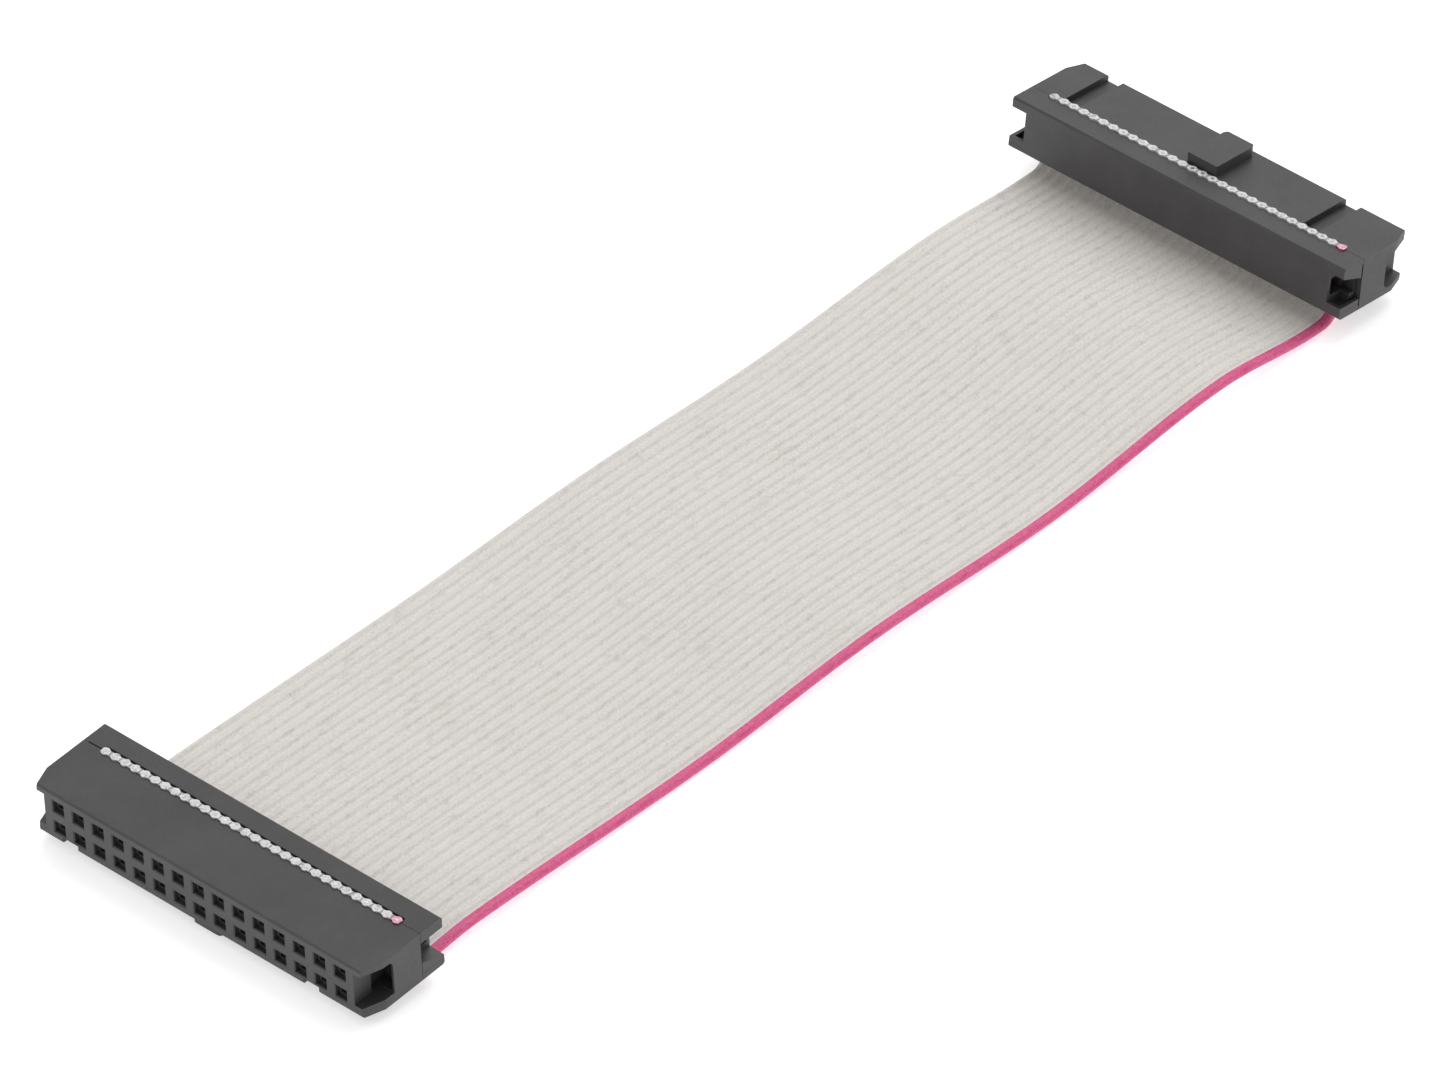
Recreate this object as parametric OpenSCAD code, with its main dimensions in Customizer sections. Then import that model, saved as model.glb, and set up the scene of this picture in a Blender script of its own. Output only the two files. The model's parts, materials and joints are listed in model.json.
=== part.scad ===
// Flat ribbon cable with a two-row socket connector clamped on each end.
// The ribbon lies along X on the plane Z = 0, its marked edge wire towards -Y.
// The near connector points its sockets to -X with its key down, the far one to +X with its key up.
// Each connector is drawn once in a frame of its own: the ribbon crosses it along Z at the origin,
// +X points out of the sockets and +Z is the side with the key.

/* [Ribbon] */
// Number of wires, two for each column of sockets
ways = 30; // [10:2:40]
// Distance from one wire to the next
wire_pitch = 1.27; // [1.2:0.01:1.3]
// Thickness of the ribbon over a wire
lobe_d = 0.9; // [0.8:0.05:1]
// Thickness of the web between two wires
web_t = 0.5; // [0.2:0.05:0.6]
// Diameter of a stranded copper conductor
conductor_d = 0.38; // [0.3:0.02:0.44]
// Clearance round a conductor, in the jacket and in a fork
wire_gap = 0.01; // [0.01:0.01:0.02]
// How much thinner the ribbon and its wires are where a connector squeezes them
squeeze = 0.01; // [0.006:0.002:0.014]
// Clear length of ribbon between the two bends below the connectors
free_run = 131.8; // [80:0.1:400]

/* [Lie of the cable] */
// Nose-down tilt of the near connector
near_pitch = 4; // [0:0.1:8]
// Nose-down tilt of the far connector
far_pitch = 6; // [0:0.1:8]
// Bend radius of the ribbon below the near connector, at its middle
near_bend_r = 1.2; // [0.8:0.1:3]
// Bend radius of the ribbon below the far connector, at its middle
far_bend_r = 2.2; // [0.8:0.1:3]
// Straight ribbon between the far connector and its bend
far_stub = 0.3; // [0.1:0.1:3]

/* [Connector] */
// Distance from one column of sockets to the next, and from row to row
pin_pitch = 2.54; // [2.5:0.01:2.6]
// Thickness of a connector without its key
conn_t = 5.8; // [5.6:0.1:7]
// From the middle of the ribbon to the face with the sockets
nose_len = 7.35; // [7:0.05:9]
// From the middle of the ribbon to the outer face of the cover
cover_len = 3; // [2.6:0.1:4]
// From the last column of sockets to the end of the connector
end_len = 3.42; // [3.3:0.01:5]
// Length of the taper at the ends of the nose
taper_len = 2.3; // [1:0.1:3]
// How far the taper pulls the nose in at each end
taper_in = 0.8; // [0.2:0.1:1]
// Chamfer on the long outer edges
edge_chamfer = 0.2; // [0.1:0.05:0.4]
// Clearance between the ribbon and the grooves of the body
grip_gap = 0.03; // [0.02:0.01:0.06]
// Clearance between the ribbon and the grooves of the cover
cover_gap = 0.1; // [0.05:0.01:0.12]
// Gap between the body and the cover
seam = 0.04; // [0.02:0.01:0.1]

/* [Key and grooves] */
// Width of the key
key_w = 3.7; // [2:0.1:5]
// From the middle of the ribbon to the key
key_start = 0.65; // [0.6:0.05:3]
// How far the key ends short of the nose
key_short = 0.6; // [0:0.1:2]
// How far the key stands proud
key_h = 1.2; // [0.6:0.1:1.6]
// Corner radius of the key at the nose
key_r = 0.8; // [0.2:0.1:0.9]
// Width of the two grooves beside it
groove_w = 2; // [1:0.1:2.2]
// Depth of the two grooves
groove_depth = 0.75; // [0.4:0.05:0.8]

/* [Sockets] */
// Width of a socket at the face
mouth_w = 1.4; // [1.2:0.05:1.6]
// Depth of the square mouth of a socket
mouth_depth = 0.6; // [0.3:0.05:0.8]
// Width of the hole that guides a pin
throat_w = 0.9; // [0.75:0.05:1]
// Length of the hole that guides a pin
throat_len = 0.75; // [0.4:0.05:1]
// From the middle of the ribbon to the inner end of a cell
cell_back = 1.6; // [1.4:0.1:1.8]
// Width of the cell that holds a contact
cell_w = 1.7; // [1.65:0.01:1.8]
// Height of the cell that holds a contact
cell_h = 1.2; // [1:0.05:1.3]

/* [Contacts] */
// Sheet that the contacts are stamped from
contact_t = 0.35; // [0.2:0.05:0.5]
// Width of the fork that cuts through the jacket
fork_w = 1.1; // [0.9:0.05:1.15]
// How far the fork reaches past the ribbon into the cover
fork_reach = 1.4; // [1:0.1:1.6]
// Length of the bar between the fork and the two springs
bar_len = 0.7; // [0.5:0.1:0.9]
// Gap between the springs where they grip a pin
spring_gap = 0.48; // [0.3:0.02:0.6]
// Thickness of a spring at its narrow end
spring_t = 0.2; // [0.12:0.02:0.22]
// Length of the flared ends that let the pin in
flare_len = 0.7; // [0.4:0.1:1]
// How far each spring flares out there
flare_out = 0.18; // [0.1:0.02:0.2]
// Clearance between a contact and what it sits in
contact_gap = 0.05; // [0.03:0.01:0.1]

/* [Latches] */
// Wall outside a latch leg
strip_t = 0.6; // [0.5:0.05:0.8]
// Length of that wall from the ribbon
strip_len = 3.75; // [3:0.05:4.2]
// Thickness of a latch leg
leg_t = 0.95; // [0.7:0.05:1]
// Height of a latch leg
leg_h = 1.6; // [1:0.1:3]
// Clearance round a latch leg
leg_gap = 0.1; // [0.05:0.05:0.2]
// Length of the hook on a latch leg
hook_len = 0.75; // [0.5:0.05:1]
// How far the hook catches behind the wall
hook_out = 0.45; // [0.2:0.05:0.5]
// Thickness of the lips above and below the recess at each end
lip_t = 0.7; // [0.6:0.1:1.1]
// Depth of the recess at the nose end
recess_depth = 0.9; // [0.4:0.05:1]
// Corner radius of that recess
recess_r = 0.7; // [0.2:0.1:1]
// Depth of the notch in each end of the cover
notch_depth = 1.8; // [1:0.1:1.9]
// Thickness of the cover left behind the notch
notch_floor = 0.9; // [0.7:0.1:1.2]

/* [Hidden] */
cols = ways / 2;
row_z = pin_pitch / 2;
ribbon_half = (ways - 1) / 2 * wire_pitch + lobe_d / 2;
half_len = (cols - 1) / 2 * pin_pitch + end_len;
nose_half = half_len - taper_in;
bore_d = conductor_d + 2 * wire_gap;
cell_front = nose_len - mouth_depth - throat_len;
key_front = nose_len - key_short;
// How far a cut reaches past the face that it opens
past = 1;
// How far the squeezed ribbon runs into the bend below it
lap = 0.05;
round_fn = 24;
bend_fn = 72;

function two_digits(i) = str(i < 10 ? "0" : "", i);
function conductor_name(i) = str("conductor_", two_digits(i));

// Places across the ribbon, counted from the marked edge wire
function wire_y(i) = (i - (ways + 1) / 2) * wire_pitch;
function column_y(j) = (j - (cols + 1) / 2) * pin_pitch;
function is_odd(i) = i % 2 == 1;

// The near connector rests on its key, or on the bend of its ribbon where that is lower. The ribbon
// runs flat on the surface between the bends, and each bend turns it up into its connector.
function bend_h(r, pitch) = lobe_d / 2 + r * (1 - sin(pitch));
near_z = max(
    (conn_t / 2 + key_h) * cos(near_pitch) + (key_front - edge_chamfer) * sin(near_pitch),
    conn_t / 2 * cos(near_pitch) + bend_h(near_bend_r, near_pitch)
);
near_stub = (near_z - bend_h(near_bend_r, near_pitch)) / cos(near_pitch) - conn_t / 2;
far_z = (far_stub + conn_t / 2) * cos(far_pitch) + bend_h(far_bend_r, far_pitch);

function bend_x(r, pitch, stub) = r * cos(pitch) + (stub + conn_t / 2) * sin(pitch);
near_run = bend_x(near_bend_r, near_pitch, near_stub);
span = near_run + free_run + bend_x(far_bend_r, far_pitch, far_stub);
near_x = (reach(near_pitch, false) - reach(far_pitch, true) - span) / 2;
far_x = near_x + span;

// How far a tilted connector reaches past the middle of its ribbon, with its nose or with its key
function reach(pitch, key_up) =
    let (
        nose = nose_len * cos(pitch) + (conn_t / 2 - edge_chamfer) * sin(pitch),
        key = key_front * cos(pitch) + (conn_t / 2 + key_h - edge_chamfer) * sin(pitch)
    )
    key_up ? max(nose, key) : nose;

// Sweeps two flat sections along the ribbon, their own X across it: the free one, and the squeezed one
module along_route() {
    translate([near_x + near_run, 0, lobe_d / 2]) {
        stretch(free_run) children(0);
        mirror([1, 0, 0]) up_into_connector(near_bend_r, near_pitch, near_stub) {
            children(0);
            children(1);
        }
        translate([free_run, 0, 0]) up_into_connector(far_bend_r, far_pitch, far_stub) {
            children(0);
            children(1);
        }
    }
}

module up_into_connector(r, pitch, stub) {
    upward_bend(r, 90 - pitch) children(0);
    translate([0, 0, r])
        rotate([0, pitch - 90, 0])
            translate([-lap, 0, -r]) stretch(lap + stub + conn_t) children(1);
}

module stretch(len) {
    rotate([90, 0, 90]) linear_extrude(len) children();
}

module upward_bend(r, turn) {
    translate([0, 0, r])
        rotate([90, 90, 0])
            rotate_extrude(angle = turn, $fn = bend_fn)
                translate([r, 0]) rotate(-90) children();
}

module at_near() {
    translate([near_x, 0, near_z]) rotate([0, 180 - near_pitch, 0]) children();
}

module at_far() {
    translate([far_x, 0, far_z]) rotate([0, far_pitch, 0]) children();
}

// Ribbon sections, thinner by less where they are squeezed

module lobes(first, last, d) {
    for (i = [first : last]) translate([wire_y(i), 0]) circle(d = d, $fn = round_fn);
}

module web(from, to, less) {
    translate([from, (less - web_t) / 2]) square([to - from, web_t - less]);
}

module grey_section(less) {
    difference() {
        union() {
            lobes(2, ways, lobe_d - less);
            web(wire_y(1.5) + less / 2, wire_y(ways), less);
        }
        lobes(2, ways, bore_d - less);
    }
}

module marker_section(less) {
    difference() {
        union() {
            lobes(1, 1, lobe_d - less);
            web(wire_y(1), wire_y(1.5) - less / 2, less);
        }
        lobes(1, 1, bore_d - less);
    }
}

// Slits that the forks have cut through the jacket of some wires, in a connector's frame
module slits(first, last) {
    for (i = [first : last])
        translate([0, wire_y(i), is_odd(i) ? row_z : -row_z])
            cube([lobe_d + past, fork_w + 2 * contact_gap, contact_t + 2 * contact_gap], center = true);
}

module ribbon_jacket() {
    color("#d8d5cf") difference() {
        along_route() {
            grey_section(0);
            grey_section(squeeze);
        }
        at_near() slits(2, ways);
        at_far() slits(2, ways);
    }
}

module marker_jacket() {
    color("#d9588c") difference() {
        along_route() {
            marker_section(0);
            marker_section(squeeze);
        }
        at_near() slits(1, 1);
        at_far() slits(1, 1);
    }
}

module conductor(i) {
    color("#c9b9a6") along_route() {
        lobes(i, i, conductor_d);
        lobes(i, i, conductor_d - squeeze);
    }
}

// Connector pieces, in the connector's own frame

// Both halves bite on the ribbon with one rounded groove for each wire
module ribbon_grooves(gap) {
    for (i = [1 : ways])
        translate([0, wire_y(i), 0])
            cylinder(d = lobe_d + 2 * gap, h = conn_t + 2 * past, center = true, $fn = round_fn);
    cube([web_t + 2 * gap, 2 * ribbon_half - lobe_d, conn_t + 2 * past], center = true);
}

module each_socket() {
    for (j = [1 : cols], side = [1, -1]) translate([0, column_y(j), side * row_z]) children();
}

module fork_slots(from, to) {
    for (i = [1 : ways])
        translate([from, wire_y(i) - fork_w / 2 - contact_gap,
                   (is_odd(i) ? row_z : -row_z) - contact_t / 2 - contact_gap])
            cube([to - from, fork_w + 2 * contact_gap, contact_t + 2 * contact_gap]);
}

// A block along Y between two outlines, one in plan and one from the side
module shaped_block(plan, side) {
    intersection() {
        linear_extrude(conn_t + 4 * past, center = true) polygon(plan);
        rotate([90, 0, 0]) linear_extrude(2 * half_len + 2 * past, center = true) polygon(side);
    }
}

module nose_block() {
    t = conn_t / 2;
    c = edge_chamfer;
    shaped_block(
        [[0, -half_len], [nose_len - taper_len, -half_len], [nose_len, -nose_half],
         [nose_len, nose_half], [nose_len - taper_len, half_len], [0, half_len]],
        [[0, -t], [nose_len - c, -t], [nose_len, c - t], [nose_len, t - c], [nose_len - c, t], [0, t]]
    );
}

function corner(x, y, r, from) = [for (a = [from : 15 : from + 90]) [x + r * cos(a), y + r * sin(a)]];

module key() {
    c = edge_chamfer;
    top = conn_t / 2 + key_h;
    intersection() {
        linear_extrude(top + past) polygon(concat(
            [[key_start, key_w / 2], [key_start, -key_w / 2]],
            corner(key_front - key_r, key_r - key_w / 2, key_r, -90),
            corner(key_front - key_r, key_w / 2 - key_r, key_r, 0)
        ));
        rotate([90, 0, 0])
            linear_extrude(key_w + 2 * past, center = true)
                polygon([[0, 0], [key_front + past, 0], [key_front + past, top - c - past],
                         [key_front - c, top], [0, top]]);
    }
}

module socket_cut() {
    translate([cell_back, -cell_w / 2, -cell_h / 2]) cube([cell_front - cell_back, cell_w, cell_h]);
    translate([cell_front - past / 2, -throat_w / 2, -throat_w / 2])
        cube([throat_len + mouth_depth + past, throat_w, throat_w]);
    translate([nose_len - mouth_depth, -mouth_w / 2, -mouth_w / 2]) cube([mouth_depth + past, mouth_w, mouth_w]);
}

// Between columns 1 and 2 from one end and columns 2 and 3 from the other
groove_places = [column_y(cols - 0.5), column_y(2.5)];

module key_side_grooves() {
    for (y = groove_places)
        translate([lobe_d / 2, y - groove_w / 2, conn_t / 2 - groove_depth])
            cube([nose_len, groove_w, groove_depth + past]);
}

leg_outer = half_len - strip_t - leg_gap;
leg_inner = leg_outer - leg_t;
leg_tip = strip_len + leg_gap + hook_len;
recess_half = conn_t / 2 - lip_t;

module latch_pocket() {
    translate([-past, leg_inner - leg_gap, -leg_h / 2 - leg_gap])
        cube([leg_tip + leg_gap + past, leg_t + 2 * leg_gap, leg_h + 2 * leg_gap]);
    translate([0, nose_half - recess_depth, 0])
        rotate([-90, 0, 0])
            linear_extrude(taper_in + recess_depth + past)
                polygon(concat(
                    [[nose_len + past, -recess_half], [nose_len + past, recess_half]],
                    corner(strip_len + recess_r, recess_half - recess_r, recess_r, 90),
                    corner(strip_len + recess_r, recess_r - recess_half, recess_r, 180)
                ));
}

module latch_leg() {
    linear_extrude(leg_h, center = true)
        polygon([[-notch_floor, leg_inner], [leg_tip, leg_inner], [leg_tip, leg_outer - leg_t / 3],
                 [strip_len + leg_gap, leg_outer + hook_out], [strip_len + leg_gap, leg_outer],
                 [-notch_floor, leg_outer]]);
}

module both_ends() {
    children();
    mirror([0, 1, 0]) children();
}

module connector_body() {
    color("#2b2a2b") difference() {
        union() {
            nose_block();
            key();
        }
        ribbon_grooves(grip_gap);
        each_socket() socket_cut();
        fork_slots(-past, fork_end + contact_gap);
        key_side_grooves();
        both_ends() latch_pocket();
    }
}

module connector_cover() {
    t = conn_t / 2;
    c = edge_chamfer;
    color("#2b2a2b") union() {
        difference() {
            shaped_block(
                [[-cover_len, -half_len], [-seam, -half_len], [-seam, half_len], [-cover_len, half_len]],
                [[-cover_len, c - t], [c - cover_len, -t], [0, -t], [0, t], [c - cover_len, t],
                 [-cover_len, t - c]]
            );
            ribbon_grooves(cover_gap);
            fork_slots(-fork_reach - contact_gap, past);
            both_ends() {
                translate([-cover_len - past, half_len - notch_depth, -recess_half])
                    cube([cover_len - notch_floor + past, notch_depth + past, 2 * recess_half]);
                translate([-notch_floor - past, leg_outer, -recess_half])
                    cube([notch_floor + 2 * past, half_len - leg_outer + past, 2 * recess_half]);
            }
        }
        both_ends() latch_leg();
    }
}

// One stamped contact: a fork that cuts to its wire, a bar, and two springs that grip a pin
bar_x = cell_back + 2 * contact_gap;
fork_end = bar_x + bar_len / 2;

module contact(wire_offset) {
    grip_w = conductor_d + 2 * wire_gap;
    bar_half = cell_w / 2 - 2 * contact_gap;
    bar_end = bar_x + bar_len;
    tip_x = cell_front - contact_gap;
    pinch_x = tip_x - flare_len;
    pinch_y = spring_gap / 2;
    linear_extrude(contact_t, center = true) {
        difference() {
            translate([-fork_reach, wire_offset - fork_w / 2]) square([fork_end + fork_reach, fork_w]);
            translate([-fork_reach, wire_offset]) {
                translate([0, -grip_w / 2]) square([fork_reach + grip_w, grip_w]);
                polygon([[0, -grip_w], [grip_w, 0], [0, grip_w]]);
            }
        }
        translate([bar_x, -bar_half]) square([bar_len, 2 * bar_half]);
        for (side = [0, 1]) mirror([0, side])
            polygon([[bar_x, bar_half / 2], [pinch_x, pinch_y], [tip_x, pinch_y + flare_out],
                     [tip_x, pinch_y + flare_out + spring_t], [pinch_x, pinch_y + spring_t],
                     [bar_end, bar_half], [bar_x, bar_half]]);
    }
}

module contact_row(first) {
    color("#c8a45a")
        for (i = [first : 2 : ways])
            translate([0, column_y(ceil(i / 2)), is_odd(i) ? row_z : -row_z])
                contact(wire_y(i) - column_y(ceil(i / 2)));
}

module near_body() { at_near() connector_body(); }
module near_cover() { at_near() connector_cover(); }
module far_body() { at_far() connector_body(); }
module far_cover() { at_far() connector_cover(); }
module near_contacts_odd() { at_near() contact_row(1); }
module near_contacts_even() { at_near() contact_row(2); }
module far_contacts_odd() { at_far() contact_row(1); }
module far_contacts_even() { at_far() contact_row(2); }

near_body();
near_cover();
far_body();
far_cover();
ribbon_jacket();
marker_jacket();
near_contacts_odd();
near_contacts_even();
far_contacts_odd();
far_contacts_even();
for (i = [1 : ways]) conductor(i);
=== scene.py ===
import json
import math

import bpy
from mathutils import Matrix, Vector


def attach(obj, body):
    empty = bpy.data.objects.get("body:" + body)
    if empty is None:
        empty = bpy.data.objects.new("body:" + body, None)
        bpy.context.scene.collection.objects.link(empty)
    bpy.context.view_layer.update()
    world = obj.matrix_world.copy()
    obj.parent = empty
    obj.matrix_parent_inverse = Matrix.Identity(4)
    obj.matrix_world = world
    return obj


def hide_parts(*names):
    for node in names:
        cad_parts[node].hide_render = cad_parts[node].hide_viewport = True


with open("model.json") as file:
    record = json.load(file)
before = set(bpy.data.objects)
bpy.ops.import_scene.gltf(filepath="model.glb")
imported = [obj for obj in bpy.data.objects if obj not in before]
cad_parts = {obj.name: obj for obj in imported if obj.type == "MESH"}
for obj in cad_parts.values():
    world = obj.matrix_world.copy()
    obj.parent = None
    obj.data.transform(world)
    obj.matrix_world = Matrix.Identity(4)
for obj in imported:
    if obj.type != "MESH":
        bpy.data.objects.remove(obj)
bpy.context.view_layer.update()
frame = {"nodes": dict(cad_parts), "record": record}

mm = 0.001
wirePitch = 1.27  # mm, from wire to wire across the ribbon
nodes = frame["nodes"]


def deselectAll():
    bpy.ops.object.select_all(action="DESELECT")


# The camera is a long lens over the near left corner, a little off level
camera = {
    "target": (-3.10, -0.57, 4.57),  # mm
    "azimuth": -138.88,  # degrees from +X
    "elevation": 38.21,
    "roll": 0.56,
    "distance": 1398.8,  # mm
    "lens": 367.1,  # mm
    "sensor": 36,  # mm
    "clip": (0.05, 20),  # m
}


def placeCamera():
    around = math.radians(camera["azimuth"])
    above = math.radians(camera["elevation"])
    roll = math.radians(camera["roll"])
    back = Vector((
        math.cos(above) * math.cos(around),
        math.cos(above) * math.sin(around),
        math.sin(above),
    ))
    level = Vector((0, 0, 1)).cross(back).normalized()
    upright = back.cross(level)
    right = level * math.cos(roll) + upright * math.sin(roll)
    up = back.cross(right)
    bpy.ops.object.camera_add()
    cam = bpy.context.object
    cam.name = "camera"
    place = (Vector(camera["target"]) + back * camera["distance"]) * mm
    cam.matrix_world = Matrix.Translation(place) @ Matrix((right, up, back)).transposed().to_4x4()
    cam.data.sensor_width = camera["sensor"]
    cam.data.lens = camera["lens"]
    cam.data.clip_start, cam.data.clip_end = camera["clip"]
    bpy.context.scene.camera = cam


placeCamera()
print("camera placed")


# Materials
def srgb(code):
    # sRGB hex to the linear colour that the shader works in
    parts = [int(code[i:i + 2], 16) / 255 for i in (1, 3, 5)]
    return [p / 12.92 if p <= 0.04045 else ((p + 0.055) / 1.055) ** 2.4 for p in parts] + [1]


def addNode(tree, kind, inputs=None, **settings):
    node = tree.nodes.new(kind)
    for name, value in settings.items():
        setattr(node, name, value)
    for name, value in (inputs or {}).items():
        if isinstance(value, bpy.types.NodeSocket):
            tree.links.new(value, node.inputs[name])
        else:
            node.inputs[name].default_value = value
    return node


def newMaterial(name):
    material = bpy.data.materials.new(name)
    material.use_nodes = True
    tree = material.node_tree
    tree.nodes.clear()
    shader = addNode(tree, "ShaderNodeBsdfPrincipled")
    output = addNode(tree, "ShaderNodeOutputMaterial", {"Surface": shader.outputs["BSDF"]})
    where = addNode(tree, "ShaderNodeTexCoord").outputs["Object"]
    return material, tree, shader, output, where


def noise(tree, where, size, detail=3.0, rough=0.5):
    # size is the width of a patch in mm
    return addNode(
        tree, "ShaderNodeTexNoise",
        {"Vector": where, "Scale": 1 / (size * mm), "Detail": detail, "Roughness": rough},
    )


def ramp(tree, source, low, high, colours):
    # The colours lie evenly between low and high
    node = addNode(tree, "ShaderNodeValToRGB", {"Fac": source})
    stops = node.color_ramp.elements
    stops[0].position = low
    stops[1].position = high
    step = (high - low) / (len(colours) - 1)
    for k in range(1, len(colours) - 1):
        stops.new(low + k * step)
    for stop, colour in zip(stops, colours):
        stop.color = colour
    return node.outputs["Color"]


def blend(tree, first, second, operation):
    return addNode(tree, "ShaderNodeMath", {0: first, 1: second}, operation=operation).outputs[0]


def grey(value):
    return (value, value, value, 1)


def setLinks(tree, shader, colour, rough, height, relief):
    # relief is the height of the grain in mm
    bump = addNode(tree, "ShaderNodeBump", {"Height": height, "Strength": 1.0, "Distance": relief * mm})
    tree.links.new(colour, shader.inputs["Base Color"])
    tree.links.new(rough, shader.inputs["Roughness"])
    tree.links.new(bump.outputs["Normal"], shader.inputs["Normal"])


noiseSpan = (0.3, 0.7)  # most values of a noise texture lie in here
plastic = {
    "body": "#333133",
    "worn": "#3d3b3d",
    "wornSpan": (0.35, 0.7),  # of the cloud's values, from the darker to the paler shade
    "grain": 0.16,  # mm, spark-eroded mould texture, drawn a little coarse
    "cloud": 5.0,  # mm, patches where the glass filling shows
    "rough": (0.46, 0.58),
    "relief": 0.006,  # mm
    "ior": 1.55,
}


def mouldedPolyester(name, dark, pale):
    # Glass-filled polyester from a spark-eroded mould: near black, matt, with a fine even grain
    material, tree, shader, output, where = newMaterial(name)
    grain = noise(tree, where, plastic["grain"], 2.0)
    cloud = noise(tree, where, plastic["cloud"], 4.0)
    colour = ramp(tree, cloud.outputs["Fac"], *plastic["wornSpan"], (srgb(dark), srgb(pale)))
    rough = ramp(tree, grain.outputs["Fac"], *noiseSpan, [grey(value) for value in plastic["rough"]])
    setLinks(tree, shader, colour, rough, grain.outputs["Fac"], plastic["relief"])
    shader.inputs["IOR"].default_value = plastic["ior"]
    return material


vinyl = {
    # Each has the shade in a fleck or the painted shade in a valley, then the duller and the paler
    # shade
    "grey": ("#d5cfc9", "#e2ddd7", "#ebe7e2"),
    "pink": ("#d04a80", "#e0568c", "#e8709c"),
    "greyCut": ("#999899", "#dddcdd", "#eeedee"),
    "pinkCut": ("#b8688a", "#ecaec3", "#f5d3de"),
    "shadeSpan": (0.26, 0.62),
    "valley": 0.14,  # mm each side of the middle between two wires, where the cut web gets painted shade
    "valleyShadeDepth": 0.4,  # how far the painted shade of a valley, a fleck and a cloud shift the shade
    "fleckDepth": 0.14,
    "cloudDepth": 0.08,
    "speck": 0.25,  # mm, the dry skin that the die leaves, drawn coarse enough to show
    "line": 0.4,  # mm, draw lines
    "lineScale": 0.12,  # along the cable; the lower it is, the longer the lines
    "fleck": 0.7,  # mm, dull spots along the ribs
    "fleckScale": 0.4,
    "fleckSpan": (0.56, 0.68),
    "cloud": 9.0,  # mm, slow changes of shade along the sheet
    "rough": (0.52, 0.68),
    "relief": 0.012,  # mm
    "ior": 1.52,
}


def extrudedVinyl(name, shades, cut=False):
    # Soft PVC from an extrusion die: matt, speckled, with faint draw lines and dull flecks along it
    material, tree, shader, output, where = newMaterial(name)
    drawn = addNode(tree, "ShaderNodeMapping", {"Vector": where, "Scale": (vinyl["lineScale"], 1, 1)})
    long = addNode(tree, "ShaderNodeMapping", {"Vector": where, "Scale": (vinyl["fleckScale"], 1, 1)})
    speck = noise(tree, where, vinyl["speck"], 4.0, 0.6)
    lines = noise(tree, drawn.outputs["Vector"], vinyl["line"], 2.0)
    fleck = noise(tree, long.outputs["Vector"], vinyl["fleck"], 2.0)
    cloud = noise(tree, where, vinyl["cloud"], 3.0)
    dull = addNode(
        tree, "ShaderNodeMapRange",
        {
            "Value": fleck.outputs["Fac"], "To Max": vinyl["fleckDepth"],
            "From Min": vinyl["fleckSpan"][0], "From Max": vinyl["fleckSpan"][1],
        },
    )
    faint = addNode(
        tree, "ShaderNodeMapRange",
        {"Value": cloud.outputs["Fac"], "To Min": -vinyl["cloudDepth"], "To Max": vinyl["cloudDepth"]},
    )
    shade = blend(tree, speck.outputs["Fac"], faint.outputs[0], "ADD")
    shade = blend(tree, shade, dull.outputs[0], "SUBTRACT")
    # On a cut end, painted shade darkens the valleys between the wires, where the cut ends shade each
    # other
    if cut:
        across = addNode(tree, "ShaderNodeSeparateXYZ", {"Vector": where}).outputs["Y"]
        fromValley = blend(tree, across, wirePitch / 2 * mm, "PINGPONG")
        paintedShade = addNode(
            tree, "ShaderNodeMapRange",
            {
                "Value": fromValley, "From Max": vinyl["valley"] * mm,
                "To Min": vinyl["valleyShadeDepth"], "To Max": 0.0,
            },
        )
        shade = blend(tree, shade, paintedShade.outputs[0], "SUBTRACT")
    colour = ramp(tree, shade, *vinyl["shadeSpan"], [srgb(code) for code in shades])
    rough = ramp(tree, speck.outputs["Fac"], *noiseSpan, [grey(value) for value in vinyl["rough"]])
    height = blend(tree, speck.outputs["Fac"], lines.outputs["Fac"], "ADD")
    setLinks(tree, shader, colour, rough, height, vinyl["relief"])
    shader.inputs["IOR"].default_value = vinyl["ior"]
    return material


metal = {
    "brass": "#c9a866",
    "brassWorn": "#a98a52",
    "tin": "#c2c1bf",
    "tinDull": "#a3a19e",
    "line": 0.08,  # mm, rolling or drawing lines
    "lineScale": 0.1,
    "cloud": 0.96,  # mm, patches of dull skin
    "dullSpan": (0.35, 0.65),
    "rough": (0.28, 0.42),
    "relief": 0.003,  # mm
}


def satinMetal(name, dull, bright):
    # Rolled or drawn metal with a thin dull skin: fine lines, satin gloss
    material, tree, shader, output, where = newMaterial(name)
    drawn = addNode(tree, "ShaderNodeMapping", {"Vector": where, "Scale": (metal["lineScale"], 1, 1)})
    lines = noise(tree, drawn.outputs["Vector"], metal["line"], 2.0)
    cloud = noise(tree, where, metal["cloud"], 2.0)
    colour = ramp(tree, cloud.outputs["Fac"], *metal["dullSpan"], (srgb(dull), srgb(bright)))
    rough = ramp(tree, lines.outputs["Fac"], *noiseSpan, [grey(value) for value in metal["rough"]])
    setLinks(tree, shader, colour, rough, lines.outputs["Fac"], metal["relief"])
    shader.inputs["Metallic"].default_value = 1.0
    return material


blackPolyester = mouldedPolyester("mouldedPolyester", plastic["body"], plastic["worn"])
greyVinyl = extrudedVinyl("extrudedVinylGrey", vinyl["grey"])
pinkVinyl = extrudedVinyl("extrudedVinylPink", vinyl["pink"])
greyCut = extrudedVinyl("cutVinylGrey", vinyl["greyCut"], cut=True)
pinkCut = extrudedVinyl("cutVinylPink", vinyl["pinkCut"], cut=True)
stampedBrass = satinMetal("stampedBrass", metal["brassWorn"], metal["brass"])
tinnedCopper = satinMetal("tinnedCopper", metal["tinDull"], metal["tin"])
print("materials made")


def dress(obj, material):
    obj.data.materials.clear()
    obj.data.materials.append(material)


for name, obj in nodes.items():
    if "contacts" in name:
        dress(obj, stampedBrass)


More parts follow.
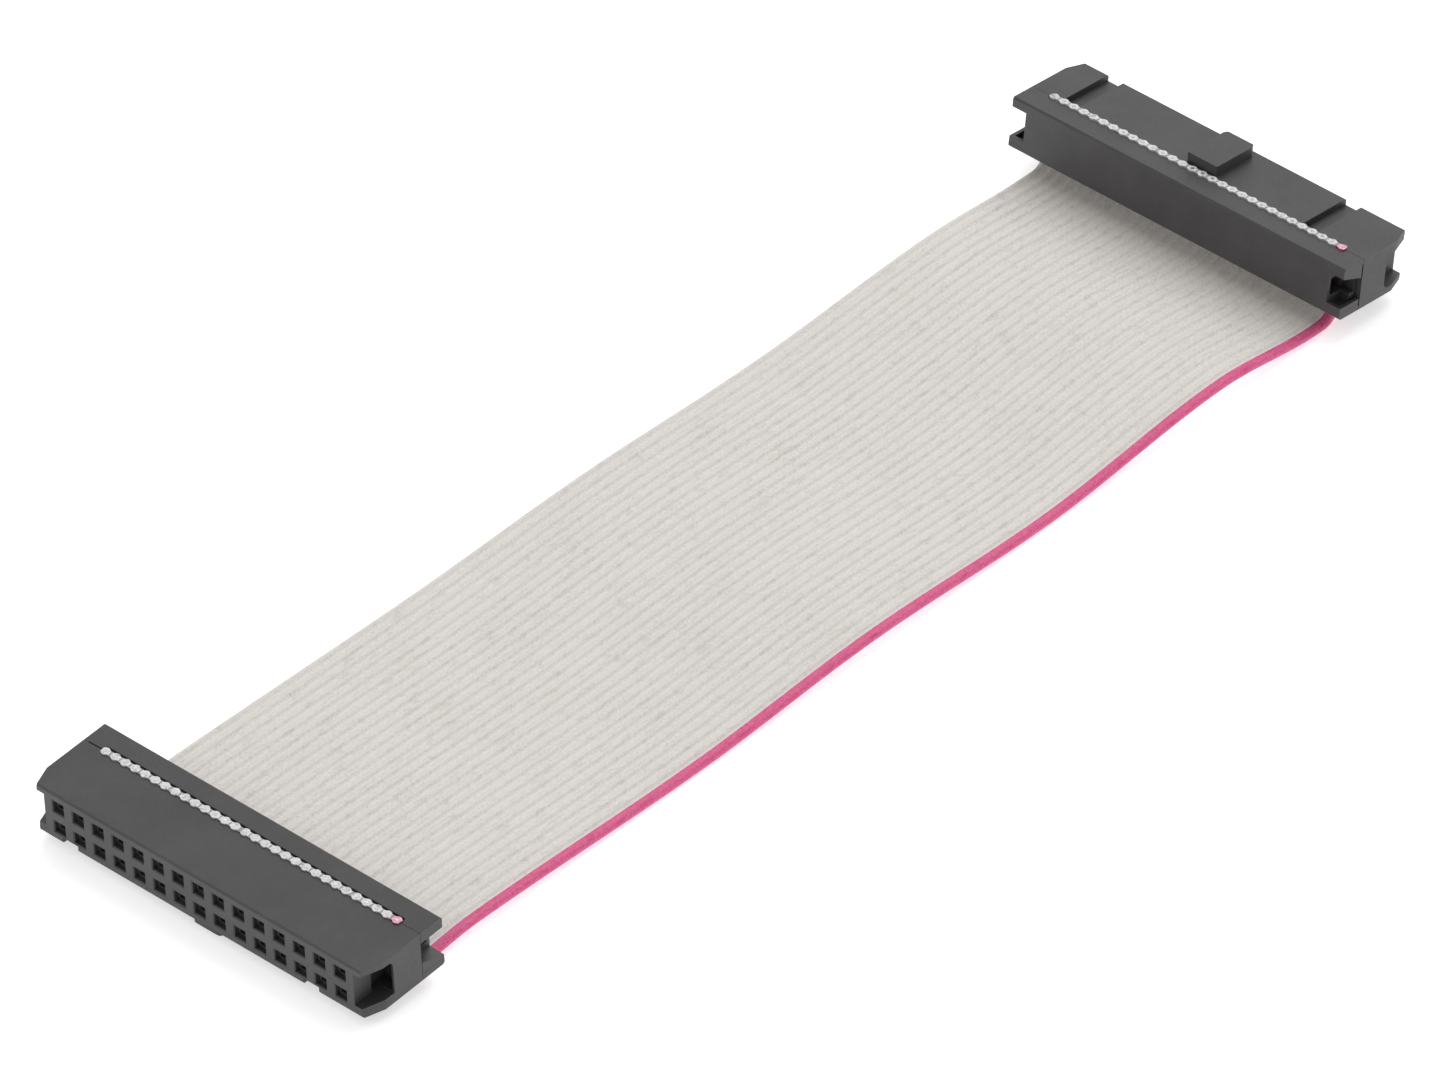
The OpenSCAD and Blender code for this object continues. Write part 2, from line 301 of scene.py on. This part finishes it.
# The ribbon is swept from its cut end in the near connector to its cut end in the far one
ribbon = {
    "wires": 30,
    "lobe": 0.9,  # mm, over one wire
    "web": 0.5,  # mm, between two wires
    "conductor": 0.38,  # mm
    "arcSteps": 5,  # faces round the top of one lobe
    "nearBend": 1.2,  # radius in mm at the middle of the ribbon
    "farBend": 2.2,
    "bendSteps": 10,
    "runSteps": 96,
    "strandSteps": 24,
    "thick": 5.8,  # of a connector, which the ribbon crosses
    "noseLen": 7.35,  # from the middle of the ribbon to the face with the sockets
    "proud": 0.15,  # of the connector, where the ribbon was cut off
    "strandProud": 0.17,
    "bulge": 0.08,  # share that the cut end has swelled by
    "smear": 0.29,  # least half thickness of the cut end, where the blade dragged the web
    "smooth": 50,  # degrees, the steepest edge that is shaded smooth
}
waves = {
    "from near bend": (0, 9, 40, 65, 90, 116, 131.8),  # mm
    "grey edge": (0, 0.35, 0.1, 0.6, 0, 0.85, 0),
    "pink edge": (0, 0.7, 0, 0.9, 0, 1.6, 0),
}
faces = {mount["name"]: mount for mount in frame["record"]["mounts"]}
nearOut = Vector(faces["near_socket_face"]["axis"]).normalized()
farOut = Vector(faces["far_socket_face"]["axis"]).normalized()
nearMiddle = Vector(faces["near_socket_face"]["pos_m"]) - nearOut * ribbon["noseLen"] * mm
farMiddle = Vector(faces["far_socket_face"]["pos_m"]) - farOut * ribbon["noseLen"] * mm
nearDown = Vector((-nearOut.z, 0, nearOut.x))
farUp = Vector((-farOut.z, 0, farOut.x))
floorLine = ribbon["lobe"] / 2 * mm  # height of the ribbon's middle where it lies flat


def wireY(i):
    return (i - (ribbon["wires"] + 1) / 2) * wirePitch


def jacketOutline(first, last, webFrom, webTo):
    # Points (across, through) round one jacket in mm, over the top and back below
    lobe = ribbon["lobe"] / 2
    rise = math.asin(ribbon["web"] / ribbon["lobe"])
    steps = ribbon["arcSteps"]
    top = []
    if webFrom is not None:
        top.append((webFrom, ribbon["web"] / 2))
    for i in range(first, last + 1):
        start = math.pi - rise if i > first or webFrom is not None else math.pi
        end = rise if i < last or webTo is not None else 0
        for k in range(steps + 1):
            angle = start + (end - start) * k / steps
            top.append((wireY(i) + lobe * math.cos(angle), lobe * math.sin(angle)))
    if webTo is not None:
        top.append((webTo, ribbon["web"] / 2))
    bottom = [(y, -z) for y, z in reversed(top) if z > 1e-9]
    return top + bottom


def strandOutline(y):
    # Six strands round a seventh, seen from the end
    strand = ribbon["conductor"] / 6
    perStrand = 4
    step = math.pi / 3 / perStrand
    points = []
    for k in range(6 * perStrand):
        off = (k % perStrand) * step
        off = min(off, math.pi / 3 - off)
        side = 2 * strand * math.sin(off)
        reach = 2 * strand * math.cos(off) + math.sqrt(max(0, strand ** 2 - side ** 2))
        points.append((y + reach * math.cos(k * step), reach * math.sin(k * step)))
    return points


def waveAt(along, across):
    # Height of the sheet above the table, eased from one crest or trough to the next
    at = waves["from near bend"]
    along = min(max(along, at[0]), at[-1])
    k = max(j for j in range(len(at) - 1) if along >= at[j])
    t = (1 - math.cos(math.pi * (along - at[k]) / (at[k + 1] - at[k]))) / 2
    atPink, atGrey = [
        waves[edge][k] * (1 - t) + waves[edge][k + 1] * t for edge in ("pink edge", "grey edge")
    ]
    side = across / (ribbon["wires"] * wirePitch) + 0.5
    return atPink * (1 - side) + atGrey * side


def selectEnd(obj, point, normal):
    # Selects the open edges that lie in the plane through point
    bpy.ops.mesh.select_all(action="DESELECT")
    bpy.ops.object.mode_set(mode="OBJECT")
    for vertex in obj.data.vertices:
        vertex.select = abs((vertex.co - point).dot(normal)) < 1e-7
    bpy.ops.object.mode_set(mode="EDIT")


def swell(obj, surface, up, out, least):
    # The blade has squashed the soft end that stands out of the connector
    for vertex in obj.data.vertices:
        offset = vertex.co - surface
        if offset.dot(up) > ribbon["proud"] * mm / 2:
            through = offset.dot(out)
            swelled = max(abs(through) * (1 + ribbon["bulge"]), least * mm)
            vertex.co += out * (math.copysign(swelled, through) - through)


def sweep(name, outline, materials, steps, proud):
    deselectAll()
    bpy.ops.mesh.primitive_circle_add(vertices=len(outline), fill_type="NOTHING")
    obj = bpy.context.object
    obj.name = name
    half = ribbon["thick"] / 2 * mm
    surface = nearMiddle - nearDown * half
    farEnd = farMiddle + farUp * half
    start = surface - nearDown * proud
    for vertex, (across, through) in zip(obj.data.vertices, outline):
        vertex.co = start + Vector((0, across * mm, 0)) - nearOut * through * mm
    nearBend, farBend = ribbon["nearBend"] * mm, ribbon["farBend"] * mm
    nearCentre = Vector((0, 0, floorLine + nearBend))
    farCentre = Vector((0, 0, floorLine + farBend))
    nearLen = (surface.z - nearCentre.z - nearOut.z * nearBend) / -nearDown.z
    nearEnd = surface + nearDown * nearLen
    nearCentre.x = nearEnd.x - nearOut.x * nearBend
    farLen = (farEnd.z - farCentre.z - farOut.z * farBend) / farUp.z
    farStart = farEnd - farUp * farLen
    farCentre.x = farStart.x - farOut.x * farBend
    bpy.ops.object.mode_set(mode="EDIT")
    bpy.ops.mesh.select_all(action="SELECT")
    # The cut end reaches as far into the connector as it stands out of it
    grow(nearDown * proud * 2, 1)
    grow(nearDown * (nearLen - proud), 1)
    bend(nearCentre, math.acos(nearDown.x), ribbon["bendSteps"])
    grow(Vector((farCentre.x - nearCentre.x, 0, 0)), steps)
    bend(farCentre, math.acos(farUp.x), ribbon["bendSteps"])
    grow(farUp * (farLen - proud), 1)
    grow(farUp * proud * 2, 1)
    bpy.ops.mesh.edge_face_add()
    selectEnd(obj, start, nearDown)
    bpy.ops.mesh.edge_face_add()
    bpy.ops.mesh.select_all(action="SELECT")
    bpy.ops.mesh.normals_make_consistent(inside=False)
    bpy.ops.object.mode_set(mode="OBJECT")
    for vertex in obj.data.vertices:
        if nearCentre.x < vertex.co.x < farCentre.x:
            vertex.co.z += waveAt((vertex.co.x - nearCentre.x) / mm, vertex.co.y / mm) * mm
    least = ribbon["smear"] if len(materials) > 1 else 0
    swell(obj, surface, -nearDown, nearOut, least)
    swell(obj, farEnd, farUp, farOut, least)
    bpy.ops.object.shade_smooth_by_angle(angle=math.radians(ribbon["smooth"]))
    for material in materials:
        obj.data.materials.append(material)
    for face in obj.data.polygons:
        if len(face.vertices) == len(outline):
            face.material_index = len(materials) - 1
    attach(obj, "root")
    return obj


def grow(way, steps):
    for k in range(steps):
        bpy.ops.mesh.extrude_region_move(TRANSFORM_OT_translate={"value": way / steps})


def bend(centre, angle, steps):
    bpy.ops.mesh.spin(steps=steps, angle=angle, center=centre, axis=(0, 1, 0))


midWeb = (wireY(1) + wireY(2)) / 2
greyOutline = jacketOutline(2, ribbon["wires"], midWeb, None)
steps, proud = ribbon["runSteps"], ribbon["proud"] * mm
jacket = sweep("greyJacket", greyOutline, (greyVinyl, greyCut), steps, proud)
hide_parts("ribbon_jacket")
pinkOutline = jacketOutline(1, 1, None, midWeb)
marker = sweep("pinkJacket", pinkOutline, (pinkVinyl, pinkCut), steps, proud)
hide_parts("marker_jacket")
print("jackets swept")

steps, proud = ribbon["strandSteps"], ribbon["strandProud"] * mm
for i in range(1, ribbon["wires"] + 1):
    outline = strandOutline(wireY(i))
    wire = sweep("strands%02d" % i, outline, (tinnedCopper,), steps, proud)
    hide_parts("conductor_%02d" % i)
print("conductors swept")


# Copies of the connectors' CAD solids with the finer forms of the mouldings: a latch hole and a
# thicker lip in each end recess, a small window with a pocket behind it in each end of the cover,
# seams, and softened socket mouths.
# Sizes are in mm, in a connector's own frame: x out of the sockets, z towards the key.
form = {
    "end": 21.19,  # outer face of an end
    "noseEnd": 20.39,  # the same at the nose, past the taper
    "taperFrom": 5.05,
    "nose": 7.34,
    "strip": 3.75,  # the wall outside the latch ends here
    "recessFloor": 19.5,
    "recessEdge": 2.25,  # lip of the recess, just inside it
    "keyLip": 1.75,  # the lip on the key side is thicker
    "lap": 0.05,  # how far a fill runs into the solid
    "hole": ((2.4, 5.05), (18.8, 20.95), (-2.05, 1.7)),
    "leg": ((2.0, 5.0), (19.3, 21.1), (-1.0, 1.0)),  # the end of the latch leg, out of sight
    "windowDepth": 1.85,
    "coverEnd": -2.99,
    "seam": -0.06,  # just short of the face, so that the fills end inside it
    "windowTop": (1.8, 0.8),  # at the outer face and at the seam
    "windowFoot": -1.6,
    "wall": 0.4,  # round the foot of the window
    "pocket": (  # behind the window, clear of the ribbon and of the contact tips
        (-2.6, 17.0), (-0.55, 17.0), (-0.55, 19.05), (-0.2, 19.05), (-0.2, 20.75), (-2.6, 20.75),
    ),
    "pocketHeight": (-0.98, 0.95),
    "slot": ((-0.7, -0.2), (-18.8, 18.8), (-3.1, -2.5)),  # beside the cut ends
    "topSeam": ((-0.14, -0.03), (18.7, 20.7), (-3.1, -2.5)),
    "endSeam": ((-0.17, -0.03), (20.9, 21.4), (-2.4, 2.4)),
    "smooth": 20,
}
sockets = {
    "columns": 15,
    "pitch": 2.54,  # mm
    "mouth": 0.69,  # half width at the foot of the soft rim
    "soft": 0.11,  # how much wider it is at the face, over this depth
    "depth": 0.13,
    "out": 0.2,  # how far the tool stands out of the face
}
connectors = {
    "near": (nearMiddle, nearOut, nearDown),
    "far": (farMiddle, farOut, farUp),
}


def prism(side, outline, low, high, along):
    # An outline in x and z drawn along y, or in x and y drawn along z; side mirrors it in y
    points = []
    for height in (low, high):
        for a, b in outline:
            points.append((a, height * side, b) if along == "y" else (a, b * side, height))
    return points


def box(side, spans):
    (x0, x1), (y0, y1), (z0, z1) = spans
    return prism(side, [(x0, z0), (x1, z0), (x1, z1), (x0, z1)], y0, y1, "y")


def socketMouths():
    # Shallow funnels that soften the rim of each socket
    shapes = []
    narrow, wide = sockets["mouth"], sockets["mouth"] + sockets["soft"]
    spread = sockets["soft"] / sockets["depth"]
    face = ribbon["noseLen"]
    for column in range(sockets["columns"]):
        for row in (-0.5, 0.5):
            y = (column - (sockets["columns"] - 1) / 2) * sockets["pitch"]
            z = row * sockets["pitch"]
            points = []
            for x, half in (
                (face - sockets["depth"], narrow),
                (face + sockets["out"], wide + sockets["out"] * spread),
            ):
                points += [(x, y - half, z - half), (x, y + half, z - half)]
                points += [(x, y + half, z + half), (x, y - half, z + half)]
            shapes.append(points)
    return shapes


def makeTool(connector, shapes):
    # One mesh of closed prisms; each is two rings of the same number of points
    middle, out, key = connectors[connector]
    turn = Matrix((out, key.cross(out), key)).transposed()
    points, rings = [], []
    for shape in shapes:
        first = len(points)
        n = len(shape) // 2
        points += [middle + turn @ (Vector(point) * mm) for point in shape]
        rings += [[first + k for k in range(n)], [first + n + k for k in range(n)]]
        for k in range(n):
            nxt = (k + 1) % n
            rings.append([first + k, first + nxt, first + n + nxt, first + n + k])
    mesh = bpy.data.meshes.new("tool")
    mesh.from_pydata(points, [], rings)
    tool = bpy.data.objects.new("tool", mesh)
    bpy.context.scene.collection.objects.link(tool)
    deselectAll()
    tool.select_set(True)
    bpy.context.view_layer.objects.active = tool
    bpy.ops.object.mode_set(mode="EDIT")
    bpy.ops.mesh.select_all(action="SELECT")
    bpy.ops.mesh.normals_make_consistent(inside=False)
    bpy.ops.object.mode_set(mode="OBJECT")
    return tool


def combine(obj, tool, operation):
    step = obj.modifiers.new("step", "BOOLEAN")
    step.operation = operation
    step.solver = "EXACT"
    step.object = tool
    deselectAll()
    obj.select_set(True)
    bpy.context.view_layer.objects.active = obj
    bpy.ops.object.modifier_apply(modifier="step")
    bpy.data.objects.remove(tool)


def moulded(connector, node, name, added, cut):
    # A copy of the CAD solid with shapes added to it and cut from it
    source = nodes[connector + node]
    obj = bpy.data.objects.new(connector + name, source.data.copy())
    bpy.context.scene.collection.objects.link(obj)
    combine(obj, makeTool(connector, added), "UNION")
    combine(obj, makeTool(connector, cut), "DIFFERENCE")
    bpy.ops.mesh.customdata_custom_splitnormals_clear()
    bpy.ops.object.shade_flat()
    bpy.ops.object.shade_smooth_by_angle(angle=math.radians(form["smooth"]))
    dress(obj, blackPolyester)
    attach(obj, "root")
    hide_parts(connector + node)


lipStart, lipFoot = form["strip"] - form["lap"], form["recessFloor"] - form["lap"]
lipPlan = [
    (lipStart, lipFoot), (form["nose"], lipFoot), (form["nose"], form["noseEnd"]),
    (form["taperFrom"], form["end"]), (lipStart, form["end"]),
]
overWindow = [
    (form["coverEnd"], form["windowTop"][0]), (form["seam"], form["windowTop"][1]),
    (form["seam"], form["recessEdge"]), (form["coverEnd"], form["recessEdge"]),
]
inner = form["end"] - form["windowDepth"]
wallX, wallY = form["coverEnd"] + form["wall"], form["end"] - form["wall"]
footPlan = [
    (form["coverEnd"], inner), (wallX, inner), (wallX, wallY), (form["seam"], wallY),
    (form["seam"], form["end"]), (form["coverEnd"], form["end"]),
]
lips, holes, windows, legs = [], [], [], []
for side in (1, -1):
    lips.append(prism(side, lipPlan, form["keyLip"], form["recessEdge"], "z"))
    holes.append(box(side, form["hole"]))
    windows.append(prism(side, overWindow, inner, form["end"], "y"))
    windows.append(prism(side, footPlan, -form["recessEdge"], form["windowFoot"], "z"))
    legs += [box(side, form["leg"]), prism(side, form["pocket"], *form["pocketHeight"], "z")]
seams = {"near": [box(1, form["slot"]), box(1, form["topSeam"])], "far": [box(-1, form["endSeam"])]}
for connector in connectors:
    moulded(connector, "_body", "Block", lips, holes + socketMouths())
    moulded(connector, "_cover", "Clamp", windows, legs + seams[connector])
print("connectors moulded")


# Table and light
table = {
    "size": 6.0,  # m
    "colour": "#f0f0f0",
    "rough": 0.9,
    "lift": 0.55,  # the table is overexposed in the photo, so it adds this for the camera
    "glow": 0.62,  # and this for the light that it throws back at the object
}
studio = {
    "skyLow": 0.03,
    "skyHigh": 0.79,
    "wallFoot": 1.6,
    "wallTop": 0.2,
    "lamps": (
        # place in m, size in m, power in W
        ((0.8, 0.3, 1.4), 1.4, 11.2),
        ((-1.2, 0.4, 1.0), 1.2, 2.5),
    ),
}


def layTable():
    bpy.ops.mesh.primitive_plane_add(size=table["size"])
    top = bpy.context.object
    top.name = "tableTop"
    material, tree, shader, output, where = newMaterial("paintedTable")
    shader.inputs["Base Color"].default_value = srgb(table["colour"])
    shader.inputs["Roughness"].default_value = table["rough"]
    seen = addNode(tree, "ShaderNodeLightPath").outputs["Is Camera Ray"]
    lift = addNode(
        tree, "ShaderNodeMapRange",
        {"Value": seen, "To Min": table["glow"], "To Max": table["lift"]},
    )
    glow = addNode(tree, "ShaderNodeEmission", {"Strength": lift.outputs[0]})
    both = addNode(tree, "ShaderNodeAddShader", {0: shader.outputs[0], 1: glow.outputs[0]})
    tree.links.new(both.outputs[0], output.inputs["Surface"])
    dress(top, material)


def hangLamps():
    for place, size, power in studio["lamps"]:
        bpy.ops.object.light_add(type="AREA", location=place)
        lamp = bpy.context.object
        lamp.name = "softBox"
        lamp.data.shape = "SQUARE"
        lamp.data.size = size
        lamp.data.energy = power
        lamp.rotation_euler = (-Vector(place)).to_track_quat("-Z", "Y").to_euler()


def paintSky():
    world = bpy.data.worlds.new("studioSky")
    bpy.context.scene.world = world
    world.use_nodes = True
    tree = world.node_tree
    tree.nodes.clear()
    path = addNode(tree, "ShaderNodeLightPath").outputs
    seen = blend(tree, path["Is Camera Ray"], path["Is Glossy Ray"], "MAXIMUM")
    # What shines in the plastic is a white wall, brighter towards its foot
    way = addNode(tree, "ShaderNodeTexCoord").outputs["Generated"]
    height = addNode(tree, "ShaderNodeSeparateXYZ", {"Vector": way}).outputs["Z"]
    wall = addNode(
        tree, "ShaderNodeMapRange",
        {"Value": height, "To Min": studio["wallFoot"], "To Max": studio["wallTop"]},
    )
    sky = addNode(
        tree, "ShaderNodeMapRange",
        {"Value": height, "To Min": studio["skyLow"], "To Max": studio["skyHigh"]},
    )
    level = addNode(
        tree, "ShaderNodeMapRange",
        {"Value": seen, "To Min": sky.outputs[0], "To Max": wall.outputs[0]},
    )
    dome = addNode(tree, "ShaderNodeBackground", {"Color": grey(1.0), "Strength": level.outputs[0]})
    addNode(tree, "ShaderNodeOutputWorld", {"Surface": dome.outputs[0]})


layTable()
hangLamps()
paintSky()
bpy.context.scene.view_settings.view_transform = "Standard"
print("table and light set")
